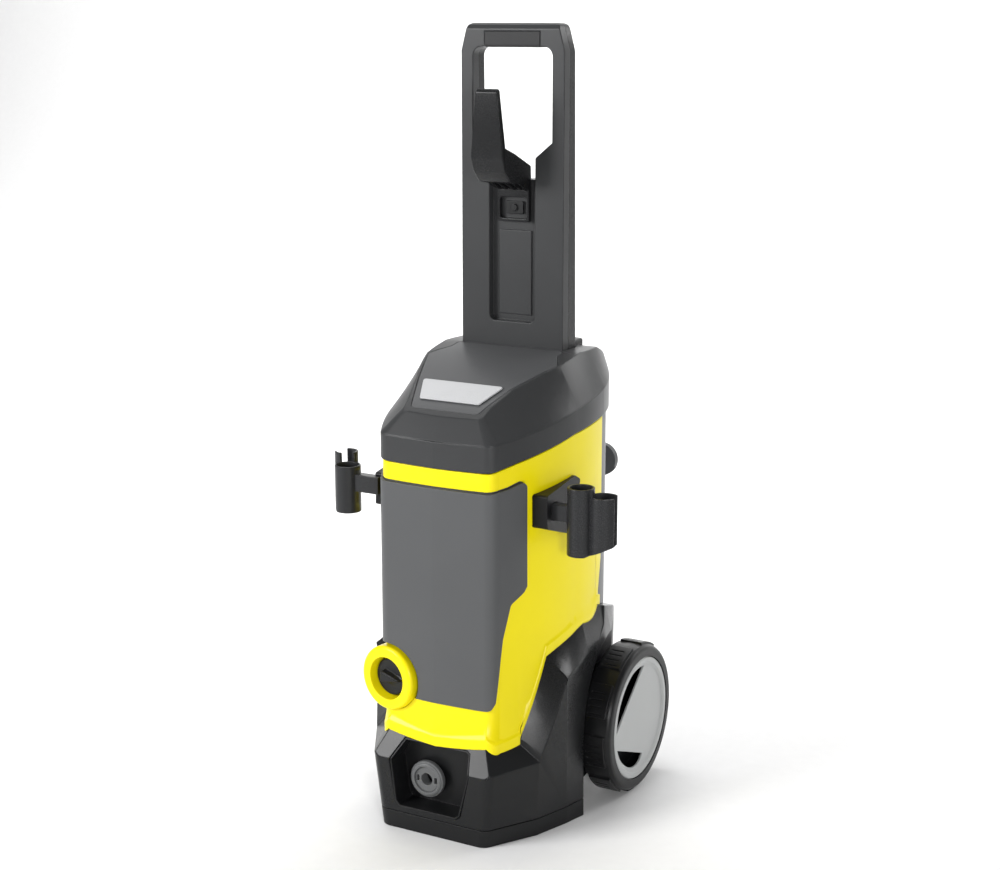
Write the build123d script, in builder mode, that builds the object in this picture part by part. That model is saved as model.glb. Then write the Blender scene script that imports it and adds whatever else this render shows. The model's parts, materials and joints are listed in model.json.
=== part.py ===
from build123d import *
import os

# Upright pressure washer on two wheels, with a pull-out handle.
# Millimetres. +X is the right-hand side seen from the front, -Y is the front, Z = 0 is the floor.
# X = 0 is the plane of symmetry, and the origin is on the underside of the floor pan.

# ---------------------------------------------------------------- driving dimensions
WALL = 2.6                 # moulded casing wall
SEAM = 0.5                 # gap between two casings
FIT = 0.05                 # radial clearance of a shaft in its bore

AXLE_Y, AXLE_Z = 102.0, 98.7
WHEEL_R = 98.7
TYRE_IN, TYRE_OUT = 119.0, 163.0    # the tyre's two sides, from the plane of symmetry
ARCH_R = 109.0
ARCH_X = 113.5             # inner wall of the wheel arch

PAN_H = 23.0               # black pan round the foot of the base
BACK_Y = 160.0             # rear face of the casing
HANDLE_FRONT, HANDLE_HALF = 47.5, 71.5
HANDLE_TOP, HANDLE_FOOT = 980.0, 470.0
GRIP_SILL = 952.0          # top edge of the hand opening
MOTOR_Y = -42.0
KNOB = (-70.0, -146.0, 191.7)
KNOB_TURN = 10.0           # the switch faces a little outwards, in degrees
OUTLET = (-18.0, -135.0, 66.0)
INLET = (-45.0, 128.0)     # x, z of the water inlet in the back
GLAND = (48.0, 300.0)      # x, z of the cord gland in the back
HOOK_Z = 391.0             # height of the turning cable hook
AXLE_R = 6.0
POST_R = 8.0
COVER_SCREWS = [(side * 60, z) for side in (-1, 1) for z in (250, 470)]

os.makedirs("parts", exist_ok=True)


def keep(piece, name):
    """Labels a finished piece and writes its STEP file."""
    piece.part.label = name
    export_step(piece.part, f"parts/{name}.step")


# ---------------------------------------------------------------- forms shared by several casings
def middle(a, b, swell):
    """Point halfway from a to b, moved to the right of the run by swell."""
    run = Vector(b[0] - a[0], b[1] - a[1])
    out = Vector(run.Y, -run.X).normalized() * swell
    return ((a[0] + b[0]) / 2 + out.X, (a[1] + b[1]) / 2 + out.Y)


def plan_face(half, swells, grow=0.0):
    """Closed plan outline from its right half, front to rear, each stretch an arc that swells outwards."""
    with BuildSketch(mode=Mode.PRIVATE) as outline:
        with BuildLine():
            for a, b, swell in zip(half, half[1:], swells):
                ThreePointArc(a, middle(a, b, swell), b)
            mirror(about=Plane.YZ)
        make_face()
        if grow:
            offset(amount=grow)
    return outline.sketch


BODY_HALF = [(0, -145.5), (66, -142), (82, -129.5), (119, 0), (116, 75), (88, 144), (70, BACK_Y),
             (0, BACK_Y + 1)]
BODY_SWELL = [0.5, 3.2, 8.0, 2.4, 3.5, 2.6, 0.1]


def body_tower(grow, low, high):
    """The casing's plan outline as a solid tower from low to high."""
    with BuildPart(mode=Mode.PRIVATE) as tower:
        with BuildSketch(Plane.XY.offset(low)):
            add(plan_face(BODY_HALF, BODY_SWELL, grow))
        extrude(amount=high - low)
    return tower.part


def side_slab(points, half_width=200.0):
    """A side-view outline, given as (y, z) points, as a slab across the whole machine."""
    with BuildPart(mode=Mode.PRIVATE) as slab:
        with BuildSketch(Plane.YZ):
            with BuildLine():
                Polyline(*points, close=True)
            make_face()
        extrude(amount=half_width, both=True)
    return slab.part


# Half outlines of the base, front to rear, at the floor and at the height of the arch.
BASE_FOOT = [(72, -153), (111, -88), (127, -40), (136, -5), (137, 34), (135, 74), (114, 112), (98, 148),
             (62, 166)]
BASE_EDGE = [(92, -164), (125, -102), (138, -62), (132, -5), (127, 34), (122, 76), (114, 112), (100, 148),
             (62, 170)]
EDGE_Z = 200.0
CORNER_R = 15.0
FRONT_FACET = Plane(origin=(0, -158, 93), x_dir=(1, 0, 0), z_dir=(0, -0.888, 0.46))
CORNER_FACET = Plane(origin=(92, -124, 110), z_dir=(0.70, -0.45, 0.555))
# Shoulder of the base in side view, (y, z), at the casing's wall and at the outer edge of the flank.
# Each lies in an upright plane, x = start + slope * y.
SHOULDER_IN = (109.75, 0.1335, [(-103, 130), (-63, 232), (14, 280), (72, 262), (72, -10), (-103, -10)])
SHOULDER_OUT = (132.9, -0.131, [(-85, 77), (-62, 199), (14, 203), (72, 206), (72, -10), (-85, -10)])


def both_sides(plane):
    """A plane and its mirror image in the plane of symmetry."""
    start, out = plane.origin, plane.z_dir
    return plane, Plane(origin=(-start.X, start.Y, start.Z), z_dir=(-out.X, out.Y, out.Z))


def base_block(grow):
    """Flared outer block of the base before its shoulders are cut, grown by grow."""
    with BuildPart(mode=Mode.PRIVATE) as block:
        for z, half in ((0, BASE_FOOT), (EDGE_Z, BASE_EDGE)):
            with BuildSketch(Plane.XY.offset(z)):
                with BuildLine():
                    Polyline(*half, *[(-x, y) for x, y in reversed(half)], close=True)
                outline = make_face()
                fillet(outline.vertices().group_by(Axis.Y)[0], radius=CORNER_R)
                if grow:
                    offset(amount=grow, kind=Kind.INTERSECTION)
        loft(ruled=True)
        extrude(block.faces().sort_by(Axis.Z)[-1], amount=80)
    return block.part


def shoulder_face(section, side, grow):
    """One section of the shoulder on one side, grown forwards, outwards and upwards."""
    start, slope, outline = section
    grown = [(y - grow if y < 0 else y, z + grow if z > 0 else z) for y, z in outline]
    corners = [(side * (start + grow + slope * y), y, z) for y, z in grown]
    return Face(Wire.make_polygon(corners, close=True))


def base_form(grow=0.0, arches=True):
    """Solid outer form of the base: a low front block, a block with sloping shoulders, and a rear."""
    block = base_block(grow)
    with BuildPart(mode=Mode.PRIVATE) as front:
        add(block)
        for facet in (FRONT_FACET, *both_sides(CORNER_FACET)):
            split(bisect_by=facet.offset(grow), keep=Keep.BOTTOM)
    with BuildPart(mode=Mode.PRIVATE) as shoulders:
        loft(
            sections=[
                shoulder_face(SHOULDER_OUT, -1, grow),
                shoulder_face(SHOULDER_IN, -1, grow),
                shoulder_face(SHOULDER_IN, 1, grow),
                shoulder_face(SHOULDER_OUT, 1, grow),
            ],
            ruled=True,
        )
        add(block, mode=Mode.INTERSECT)
    with BuildPart(mode=Mode.PRIVATE) as form:
        add(block)
        split(bisect_by=Plane.XZ.offset(-71), keep=Keep.BOTTOM)
        add(shoulders.part)
        add(front.part)
        rear_slope = [(57, 259), (142, 232), (178, 204), (260, 204), (260, 400), (57, 400)]
        add(side_slab([(y, z + grow) for y, z in rear_slope]), mode=Mode.SUBTRACT)
        if arches:
            under = [(-12, -9), (6, 26), (60, 34), (140, 42), (260, 90), (260, -9)]
            add(side_slab([(y, z - grow) for y, z in under]), mode=Mode.SUBTRACT)
            arch = ARCH_R - grow
            reach = 60.0
            for side in (-1, 1):
                centre = side * (ARCH_X + grow + reach / 2)
                with Locations((centre, AXLE_Y, AXLE_Z)):
                    Cylinder(arch, reach, rotation=(0, 90, 0), mode=Mode.SUBTRACT)
                with Locations((centre, AXLE_Y - arch, AXLE_Z)):
                    Box(reach, 300, 170, align=(Align.CENTER, Align.MIN, Align.MAX), mode=Mode.SUBTRACT)
    return form.part


BASE = base_form()
BASE_INSIDE = base_form(-WALL - 0.4)
BASE_GAP = base_form(SEAM, arches=False)
BASE_BORDER = base_form(0, arches=False).moved(Location((0, 0, 14)))


# ---------------------------------------------------------------- base, pan and front recess
RECESS = [(-53, 38), (-47, 31), (34, 31), (40, 36), (54, 90), (49, 116), (44, 119), (-44, 119), (-60, 92)]
RECESS_BACK = -124.0       # y of the recess floor


def recess_prism(grow, back):
    """The outlet recess as a prism from in front of the base to back."""
    with BuildPart(mode=Mode.PRIVATE) as prism:
        with BuildSketch(Plane.XZ.offset(175)):
            with BuildLine():
                Polyline(*RECESS, close=True)
            make_face()
            if grow:
                offset(amount=grow, kind=Kind.INTERSECTION)
        extrude(amount=-(175 + back))
    return prism.part


with BuildPart() as base_shell:
    add(BASE)
    add(BASE_INSIDE, mode=Mode.SUBTRACT)
    # open below the pan line and open inside the casing
    with Locations((0, 0, PAN_H + SEAM)):
        Box(400, 500, 80, align=(Align.CENTER, Align.CENTER, Align.MAX), mode=Mode.SUBTRACT)
    add(body_tower(-9, 90, 300), mode=Mode.SUBTRACT)
    add(recess_prism(0, RECESS_BACK), mode=Mode.SUBTRACT)
    # bearing walls for the axle, with a round boss on each
    for side in (-1, 1):
        with Locations((side * (ARCH_X - 7), AXLE_Y, AXLE_Z)):
            Cylinder(17, 12, rotation=(0, 90, 0))
    with Locations((0, AXLE_Y, AXLE_Z)):
        Cylinder(AXLE_R + FIT, 2 * ARCH_X + 20, rotation=(0, 90, 0), mode=Mode.SUBTRACT)
    # hole for the water inlet
    with Locations((INLET[0], BACK_Y, INLET[1])):
        Cylinder(13.3, 60, rotation=(90, 0, 0), mode=Mode.SUBTRACT)
keep(base_shell, "base_shell")

with BuildPart() as floor_pan:
    with BuildPart(mode=Mode.PRIVATE) as pan_outer:
        add(BASE)
        with Locations((0, 0, PAN_H)):
            Box(500, 600, 400, align=(Align.CENTER, Align.CENTER, Align.MIN), mode=Mode.SUBTRACT)
        with Locations((0, 150, 0)):
            Box(500, 290, 100, mode=Mode.SUBTRACT)
    with BuildPart(mode=Mode.PRIVATE) as pan_inner:
        add(BASE_INSIDE)
        with Locations((0, 0, 4)):
            Box(500, 600, 400, align=(Align.CENTER, Align.CENTER, Align.MAX), mode=Mode.SUBTRACT)
    add(pan_outer.part)
    add(pan_inner.part, mode=Mode.SUBTRACT)
    # tail of the pan back to the axle, carrying the origin
    with Locations((0, -20, 0)):
        Box(190, 28, 4, align=(Align.CENTER, Align.MIN, Align.MIN))
    # four posts for the pump's rubber mounts
    with Locations(*[(x, MOTOR_Y + y, 3) for x in (-72, 72) for y in (-30, 30)]):
        Cylinder(8, 99, align=(Align.CENTER, Align.CENTER, Align.MIN))
    # pockets for the foot strips
    with Locations(*[(side * 62, -112, 0) for side in (-1, 1)]):
        Box(30.4, 54.4, 2, align=(Align.CENTER, Align.CENTER, Align.MIN), mode=Mode.SUBTRACT)
    # drain and cooling slots
    with Locations(*[(x, -60, 0) for x in (-24, -12, 0, 12, 24)]):
        Box(5, 40, 20, align=(Align.CENTER, Align.CENTER, Align.CENTER), mode=Mode.SUBTRACT)
keep(floor_pan, "floor_pan")

with BuildPart() as foot_strips:
    with Locations(*[(side * 62, -112, 0) for side in (-1, 1)]):
        Box(30, 54, 2, align=(Align.CENTER, Align.CENTER, Align.MIN))
keep(foot_strips, "foot_strips")

with BuildPart() as recess_liner:
    add(recess_prism(-0.4, RECESS_BACK + 3))
    add(recess_prism(-2.6, RECESS_BACK), mode=Mode.SUBTRACT)
    split(bisect_by=FRONT_FACET.offset(-1.2), keep=Keep.BOTTOM)
    with Locations((0, -156.5, 0)):
        Box(400, 60, 400, align=(Align.CENTER, Align.MAX, Align.CENTER), mode=Mode.SUBTRACT)
    with Locations((OUTLET[0], RECESS_BACK, OUTLET[2])):
        Cylinder(16.4, 20, rotation=(90, 0, 0), mode=Mode.SUBTRACT)
keep(recess_liner, "recess_liner")

# ---------------------------------------------------------------- yellow casing, front panel, rear cover
CASING_REAR = 77.5
CASING_SIDE = [(-200, 100), (-200, 464), (-140, 466.5), (-104, 475.5), (-66, 482.5), (-10, 492.5),
               (CASING_REAR, 500), (CASING_REAR, 315), (68, 275), (68, 100)]
PANEL_SIDE = [(-170, 443), (-141, 443), (-118, 447), (-95, 454), (-95, 322), (-99, 316), (-117, 304),
              (-127, 263), (-136, 184), (-141, 173), (-170, 173)]
KNOB_PLANE = Plane(origin=KNOB, z_dir=Vector(0, -1, 0).rotate(Axis.Z, -KNOB_TURN))


def panel_slab(grow):
    """Side outline of the front panel, grown by grow, as a slab across the machine."""
    with BuildPart(mode=Mode.PRIVATE) as slab:
        with BuildSketch(Plane.YZ):
            with BuildLine():
                FilletPolyline(*PANEL_SIDE, radius=[0.1, 6, 6, 7, 5, 5, 9, 20, 6, 6, 0.1], close=True)
            make_face()
            if grow:
                offset(amount=grow)
        extrude(amount=200, both=True)
    return slab.part


def knob_drum(radius, front, back):
    """Round drum on the switch axis, from front to back behind the switch's face."""
    with BuildPart(mode=Mode.PRIVATE) as drum:
        with BuildSketch(KNOB_PLANE.offset(-front)):
            Circle(radius)
        extrude(amount=front - back)
    return drum.part


RING_R = 41.0
with BuildPart() as yellow_casing:
    add(body_tower(-2.0, 100, 520))
    add(body_tower(-2.0 - WALL, 90, 530), mode=Mode.SUBTRACT)
    # raised border along the lower edge, following the shoulders of the base
    with BuildPart(mode=Mode.PRIVATE) as border:
        add(body_tower(0.8, 100, 300))
        add(body_tower(-2.0 - WALL, 90, 310), mode=Mode.SUBTRACT)
        add(BASE_BORDER, mode=Mode.INTERSECT)
    add(border.part)
    add(side_slab(CASING_SIDE), mode=Mode.INTERSECT)
    add(BASE_GAP, mode=Mode.SUBTRACT)
    add(panel_slab(1.6), mode=Mode.SUBTRACT)
    add(knob_drum(RING_R + 0.3, -30, 60), mode=Mode.SUBTRACT)
keep(yellow_casing, "yellow_casing")

with BuildPart() as front_panel:
    with BuildPart(mode=Mode.PRIVATE) as skin:
        add(body_tower(1.4, 150, 470))
        add(body_tower(-2.2, 140, 480), mode=Mode.SUBTRACT)
        add(panel_slab(0), mode=Mode.INTERSECT)
    with BuildPart(mode=Mode.PRIVATE) as web:
        add(body_tower(0, 150, 470))
        add(body_tower(-7.2, 140, 480), mode=Mode.SUBTRACT)
        add(panel_slab(-1), mode=Mode.INTERSECT)
        add(panel_slab(-3.4), mode=Mode.SUBTRACT)
    with BuildPart(mode=Mode.PRIVATE) as flange:
        add(body_tower(-5.2, 150, 480))
        add(body_tower(-7.2, 140, 490), mode=Mode.SUBTRACT)
        add(panel_slab(6), mode=Mode.INTERSECT)
        add(panel_slab(-3.4), mode=Mode.SUBTRACT)
        add(BASE_GAP, mode=Mode.SUBTRACT)
    add(skin.part)
    add(web.part)
    add(flange.part)
    add(knob_drum(RING_R + 4.5, -30, 60), mode=Mode.SUBTRACT)
keep(front_panel, "front_panel")

REAR_COVER_SIDE = [(CASING_REAR + SEAM, 315.1), (68 + SEAM, 275.1), (68 + SEAM, 240), (90, 190),
                   (200, 190), (200, 504.3), (CASING_REAR + SEAM, 502.4)]
with BuildPart() as rear_cover:
    add(body_tower(-3.0, 180, 510))
    add(body_tower(-3.0 - WALL, 170, 520), mode=Mode.SUBTRACT)
    add(side_slab(REAR_COVER_SIDE), mode=Mode.INTERSECT)
    add(BASE_GAP, mode=Mode.SUBTRACT)
    # tongue that laps behind the yellow casing
    with BuildPart(mode=Mode.PRIVATE) as tongue:
        add(body_tower(-2.4 - WALL - 0.3, 320, 495))
        add(body_tower(-2.4 - WALL - 2.3, 310, 500), mode=Mode.SUBTRACT)
        with Locations((0, CASING_REAR + 4, 400)):
            Box(400, 16, 200, mode=Mode.INTERSECT)
    add(tongue.part)
    # cooling louvres in the back
    with Locations(*[(-10, BACK_Y, 300 + 11 * row) for row in range(-3, 3)]):
        Box(80, 20, 5, mode=Mode.SUBTRACT)
    # holes for the gland, the hook's post and the screws
    with Locations((GLAND[0], BACK_Y, GLAND[1])):
        Cylinder(9.2, 20, rotation=(90, 0, 0), mode=Mode.SUBTRACT)
    with Locations((0, BACK_Y, HOOK_Z)):
        Cylinder(POST_R + 0.1, 20, rotation=(90, 0, 0), mode=Mode.SUBTRACT)
    with Locations(*[(x, BACK_Y, z) for x, z in COVER_SCREWS]):
        Cylinder(2.2, 20, rotation=(90, 0, 0), mode=Mode.SUBTRACT)
keep(rear_cover, "rear_cover")

# ---------------------------------------------------------------- top cover, bonnet, badge
BONNET_HALF = [(0, -122), (44, -121), (50, -117), (90, -2), (85, 66), (68, 124), (54, 138), (0, 139)]
BONNET_SWELL = [0.3, 1.0, 2.0, 1.0, 2.0, 1.5, 0.1]
BAND_SLOPE, BONNET_SLOPE = 9.6, 22.2          # tilt of the band's top edge and the facets' upper end
FACET_STEP = 0.5                              # the facets start this far inside the band's top edge
ROOF = [(-210, 470), (-150, 513), (-121, 531), (-107, 539.5), (-72, 556), (-30, 569), (10, 578), (47, 584),
        (100, 583), (150, 566), (210, 540)]
BAND_FOOT = [(-210, 452), (-140, 468.5), (-104, 477.5), (-66, 484.5), (-10, 494.5), (78, 503), (210, 505)]
HANDLE_SLOT = (-0.6, 38.6)                    # front and back of the slot, behind the handle's face


def tilted_face(half, swells, grow, hinge_y, hinge_z, slope):
    """A plan outline projected on a plane that rises to the rear by slope degrees."""
    tilt = Plane(origin=(0, hinge_y, hinge_z), x_dir=(1, 0, 0), z_dir=Vector(0, 0, 1).rotate(Axis.X, slope))
    along = tilt.y_dir.Y
    moved = [(x + grow if x else 0, y + (grow if y > 0 else -grow)) for x, y in half]
    return tilt, plan_face([(x, (y - hinge_y) / along) for x, y in moved], swells)


def cover_form(grow):
    """Solid outer form of the top cover: upright band, facets sloping in, curved roof."""
    with BuildPart(mode=Mode.PRIVATE) as form:
        for half, swells, y, z, slope in (
            (BODY_HALF, BODY_SWELL, -139, 501, BAND_SLOPE),
            (BONNET_HALF, BONNET_SWELL, -121, 536, BONNET_SLOPE),
        ):
            tilt, outline = tilted_face(half, swells, 0.6 + grow - FACET_STEP, y, z, slope)
            with BuildSketch(tilt):
                add(outline)
        loft(ruled=True)
        with BuildPart(mode=Mode.PRIVATE) as band:
            add(body_tower(0.6 + grow, 440, 560))
            tilt = Plane(origin=(0, -139, 501), z_dir=Vector(0, 0, 1).rotate(Axis.X, BAND_SLOPE))
            split(bisect_by=tilt, keep=Keep.BOTTOM)
        add(band.part)
        add(side_slab([(y, z + grow) for y, z in ROOF] + [(210, 700), (-210, 700)]), mode=Mode.SUBTRACT)
    return form.part


BONNET_PLAN = [(46, -119), (91, -3), (75, 27), (75, 44.5), (-75, 44.5), (-75, 27), (-91, -3), (-46, -119)]
BONNET_T = 2.4


def bonnet_prism(grow):
    """The bonnet's outline as an upright prism."""
    with BuildPart(mode=Mode.PRIVATE) as prism:
        with BuildSketch(Plane.XY.offset(500)):
            with BuildLine():
                Polyline(*BONNET_PLAN, close=True)
            outline = make_face()
            fillet(outline.vertices(), radius=5)
            if grow:
                offset(amount=grow)
        extrude(amount=120)
    return prism.part


def roof_layer(top, bottom):
    """Everything between the roof line lowered by top and by bottom."""
    upper = [(y, z - top) for y, z in ROOF]
    lower = [(y, z - bottom) for y, z in reversed(ROOF)]
    return side_slab(upper + lower)


with BuildPart() as top_cover:
    add(cover_form(0))
    add(side_slab(BAND_FOOT + [(210, 300), (-210, 300)]), mode=Mode.SUBTRACT)
    add(cover_form(-WALL - BONNET_T), mode=Mode.SUBTRACT)
    with BuildPart(mode=Mode.PRIVATE) as bonnet_seat:
        add(bonnet_prism(0.3))
        add(roof_layer(-20, BONNET_T + 0.2), mode=Mode.INTERSECT)
    add(bonnet_seat.part, mode=Mode.SUBTRACT)
    with Locations((0, HANDLE_FRONT + sum(HANDLE_SLOT) / 2, 560)):
        Box(2 * HANDLE_HALF + 1.2, HANDLE_SLOT[1] - HANDLE_SLOT[0], 120, mode=Mode.SUBTRACT)
    # seat for the handle collar behind the slot
    with Locations((0, 103.5, 575)):
        Box(132.6, 34.6, 60, mode=Mode.SUBTRACT)
keep(top_cover, "top_cover")

with BuildPart() as bonnet_panel:
    add(bonnet_prism(0))
    add(roof_layer(0, BONNET_T), mode=Mode.INTERSECT)
keep(bonnet_panel, "bonnet_panel")

BADGE_SLOPE = 25.2
BADGE_NORMAL = Vector(0, 0, 1).rotate(Axis.X, BADGE_SLOPE)
BADGE_PLANE = Plane(origin=(0, -89.5, 547.9), x_dir=(1, 0, 0), z_dir=BADGE_NORMAL)
with BuildPart() as badge_plate:
    with BuildSketch(BADGE_PLANE.offset(0.5)):
        with BuildLine():
            Polyline((-41, -19), (41, -19), (56, 19), (-56, 19), close=True)
        badge_face = make_face()
        fillet(badge_face.vertices(), radius=3)
    extrude(amount=2.0)
    fillet(badge_plate.faces().sort_by(Axis.Z)[-1].edges(), radius=0.6)
keep(badge_plate, "badge_plate")

# ---------------------------------------------------------------- pull-out handle
OPEN_HALF, OPEN_LOW, OPEN_FOOT = 55.0, 838.0, 792.0   # hand opening: half width, end of the sides, sill
CHANNEL_HALF, CHANNEL_FOOT, CHANNEL_D = 32.0, 615.0, 11.0
HANDLE_SPLIT = 62.0
SHELL = 2.6
HANDLE_SIDE = [(HANDLE_FRONT, HANDLE_FOOT), (HANDLE_FRONT, HANDLE_TOP - 7), (50.5, HANDLE_TOP - 2),
               (56, HANDLE_TOP), (70, HANDLE_TOP), (74.5, HANDLE_TOP - 2), (76.5, HANDLE_TOP - 7),
               (84.6, 572), (85, HANDLE_FOOT)]


def handle_blank(shrink):
    """The handle's outer block, without its openings."""
    with BuildPart(mode=Mode.PRIVATE) as blank:
        with BuildSketch(Plane.XZ.offset(-HANDLE_FRONT - shrink)):
            with BuildLine():
                Polyline(
                    (-HANDLE_HALF, HANDLE_FOOT - 1), (-HANDLE_HALF, 947), (-63, HANDLE_TOP),
                    (63, HANDLE_TOP), (HANDLE_HALF, 947), (HANDLE_HALF, HANDLE_FOOT - 1), close=True,
                )
            front_face = make_face()
            fillet(front_face.vertices().group_by(Axis.Y)[-1], radius=7)
            if shrink:
                offset(amount=-shrink)
        extrude(amount=-(38.0 - 2 * shrink))
        with BuildPart(mode=Mode.PRIVATE) as side:
            with BuildSketch(Plane.YZ):
                with BuildLine():
                    Polyline(*HANDLE_SIDE, close=True)
                make_face()
                if shrink:
                    offset(amount=-shrink)
            extrude(amount=100, both=True)
        add(side.part, mode=Mode.INTERSECT)
    return blank.part


def hand_opening(grow):
    """The hand opening, right through the handle."""
    with BuildPart(mode=Mode.PRIVATE) as opening:
        with BuildSketch(Plane.XZ.offset(-40)):
            with BuildLine():
                Polyline(
                    (-OPEN_HALF, GRIP_SILL), (OPEN_HALF, GRIP_SILL), (OPEN_HALF, OPEN_LOW),
                    (CHANNEL_HALF, OPEN_LOW - 19), (CHANNEL_HALF, OPEN_FOOT), (-CHANNEL_HALF, OPEN_FOOT),
                    (-CHANNEL_HALF, OPEN_LOW - 19), (-OPEN_HALF, OPEN_LOW), close=True,
                )
            opening_face = make_face()
            fillet(opening_face.vertices().group_by(Axis.Y)[-1], radius=12)
            fillet(opening_face.vertices().group_by(Axis.Y)[0], radius=4)
            if grow:
                offset(amount=grow)
        extrude(amount=-60)
    return opening.part


def front_channel(grow):
    """The sunk channel down the handle's front."""
    with BuildPart(mode=Mode.PRIVATE) as channel:
        with BuildSketch(Plane.XZ.offset(-HANDLE_FRONT + 2)):
            with BuildLine():
                Polyline(
                    (-CHANNEL_HALF, OPEN_FOOT + 12), (CHANNEL_HALF, OPEN_FOOT + 12),
                    (CHANNEL_HALF, CHANNEL_FOOT), (-CHANNEL_HALF, CHANNEL_FOOT), close=True,
                )
            channel_face = make_face()
            fillet(channel_face.vertices().group_by(Axis.Y)[0], radius=8)
            if grow:
                offset(amount=grow)
        extrude(amount=-(2 + CHANNEL_D + grow))
    return channel.part


GRIP_HALF, GRIP_TOP_Z, GRIP_T = 38.0, 970.0, 3.0
with BuildPart() as handle_grip:
    with Locations((0, 61.9, GRIP_SILL - 1)):
        Box(2 * GRIP_HALF, 29.6, GRIP_TOP_Z - GRIP_SILL + 1, align=(Align.CENTER, Align.CENTER, Align.MIN))
    fillet(handle_grip.edges().filter_by(Axis.X).group_by(Axis.Z)[0], radius=4)
    with Locations((0, 61.9, GRIP_SILL - 1 + GRIP_T)):
        Box(2 * GRIP_HALF + 9, 29.6 - 2 * GRIP_T, 40, align=(Align.CENTER, Align.CENTER, Align.MIN),
            mode=Mode.SUBTRACT)
    # finger notches across the underside
    with Locations(*[(13 * n, 61.9, GRIP_SILL - 2.4) for n in (-1, 0, 1)]):
        Cylinder(2.6, 60, rotation=(90, 0, 0), mode=Mode.SUBTRACT)
keep(handle_grip, "handle_grip")

with BuildPart(mode=Mode.PRIVATE) as handle_whole:
    add(handle_blank(0))
    add(hand_opening(0), mode=Mode.SUBTRACT)
    add(front_channel(0), mode=Mode.SUBTRACT)
    with BuildPart(mode=Mode.PRIVATE) as handle_room:
        add(handle_blank(SHELL))
        add(hand_opening(SHELL), mode=Mode.SUBTRACT)
        add(front_channel(SHELL), mode=Mode.SUBTRACT)
        with Locations((0, 60, 970)):
            Box(100, 40, 34, mode=Mode.SUBTRACT)
    add(handle_room.part, mode=Mode.SUBTRACT)
    with BuildPart(mode=Mode.PRIVATE) as grip_seat:
        with Locations((0, 61.9, GRIP_SILL - 3)):
            Box(2 * GRIP_HALF + 0.4, 40, GRIP_TOP_Z - GRIP_SILL + 3.2,
                align=(Align.CENTER, Align.CENTER, Align.MIN))
        with Locations((0, 61.9, GRIP_SILL - 1 + GRIP_T + 0.2)):
            Box(2 * GRIP_HALF + 9, 29.2 - 2 * GRIP_T, 40, align=(Align.CENTER, Align.CENTER, Align.MIN),
                mode=Mode.SUBTRACT)
    add(grip_seat.part, mode=Mode.SUBTRACT)

for name, low, high in (("handle_front", 0, HANDLE_SPLIT), ("handle_back", HANDLE_SPLIT + 0.3, 140)):
    with BuildPart() as handle_half:
        add(handle_whole.part)
        with Locations((0, low, 0)):
            Box(400, high - low, 2400, align=(Align.CENTER, Align.MIN, Align.CENTER), mode=Mode.INTERSECT)
        if name == "handle_front":
            # raised spine on the channel floor
            with Locations((0, HANDLE_FRONT + CHANNEL_D - 1, 676)):
                Box(46, 3, 106)
    keep(handle_half, name)

HOOK_SIDE = [(-16, 822), (-17, 900), (-13, 904), (-9, 902), (-7.5, 834), (16, 826), (57, 809), (58.4, 786),
             (58.4, 740), (51, 740), (51, 779), (30, 788), (4, 792), (-10, 806)]
with BuildPart() as hose_hook:
    with BuildSketch(Plane.YZ):
        with BuildLine():
            Polyline(*HOOK_SIDE, close=True)
        hook_face = make_face()
    extrude(amount=22, both=True)
    # window of the release clip
    with BuildSketch(Plane.XZ.offset(-45)):
        with Locations((0, 757)):
            RectangleRounded(38, 26, 4)
    extrude(amount=-20, mode=Mode.SUBTRACT)
    # stiffening slots under the arm
    with Locations(*[(x, 30, 786) for x in (-14.5, -5, 5, 14.5)]):
        Box(5.5, 46, 14, mode=Mode.SUBTRACT)
keep(hose_hook, "hose_hook")

with BuildPart() as hook_clip:
    with Locations((0, 56.2, 757)):
        Box(24, 3.2, 16)
    with Locations((0, 53.6, 757)):
        Cylinder(4.5, 3, rotation=(90, 0, 0))
keep(hook_clip, "hook_clip")

with BuildPart() as handle_collar:
    with Locations((0, 103.5, 545)):
        Box(132, 34, 44, align=(Align.CENTER, Align.CENTER, Align.MIN))
    fillet(handle_collar.edges().filter_by(Axis.Z), radius=7)
    fillet(handle_collar.faces().sort_by(Axis.Z)[-1].edges(), radius=3)
    with Locations((0, 104, 560)):
        Box(50.6, 22.6, 60, align=(Align.CENTER, Align.CENTER, Align.MIN), mode=Mode.SUBTRACT)
keep(handle_collar, "handle_collar")

with BuildPart() as lock_button:
    with Locations((0, 104, 566)):
        Box(50, 22, 27, align=(Align.CENTER, Align.CENTER, Align.MIN))
    fillet(lock_button.edges().filter_by(Axis.Z), radius=4)
    fillet(lock_button.faces().sort_by(Axis.Z)[-1].edges(), radius=2)
keep(lock_button, "lock_button")

# ---------------------------------------------------------------- wheels and axle
TREAD_PADS = 9
TYRE_SEAT_R, TYRE_BODY_R = 80.6, 96.4
CAP_R, CAP_OUT = 80.2, 162.6
TYRE_SECTION = [(TYRE_IN, TYRE_SEAT_R), (TYRE_IN, 90), (TYRE_IN + 4, 95.2), (141, TYRE_BODY_R + 0.4),
                (158, 95.4), (161.5, 93), (TYRE_OUT, 89), (TYRE_OUT, TYRE_SEAT_R)]
# Window outlines in the hub cap, seen from outside: y to the rear, z up, from the wheel's centre.
CAP_WINDOWS = (
    [(14, 66.5), (-8, 67.5), (-30, 61), (-48, 48), (-60, 31), (-67, 10), (-67.5, -2)],
    [(-63, -24), (-54, -40), (-38, -54), (-20, -63), (-2, -65), (14, -55)],
)

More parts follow.
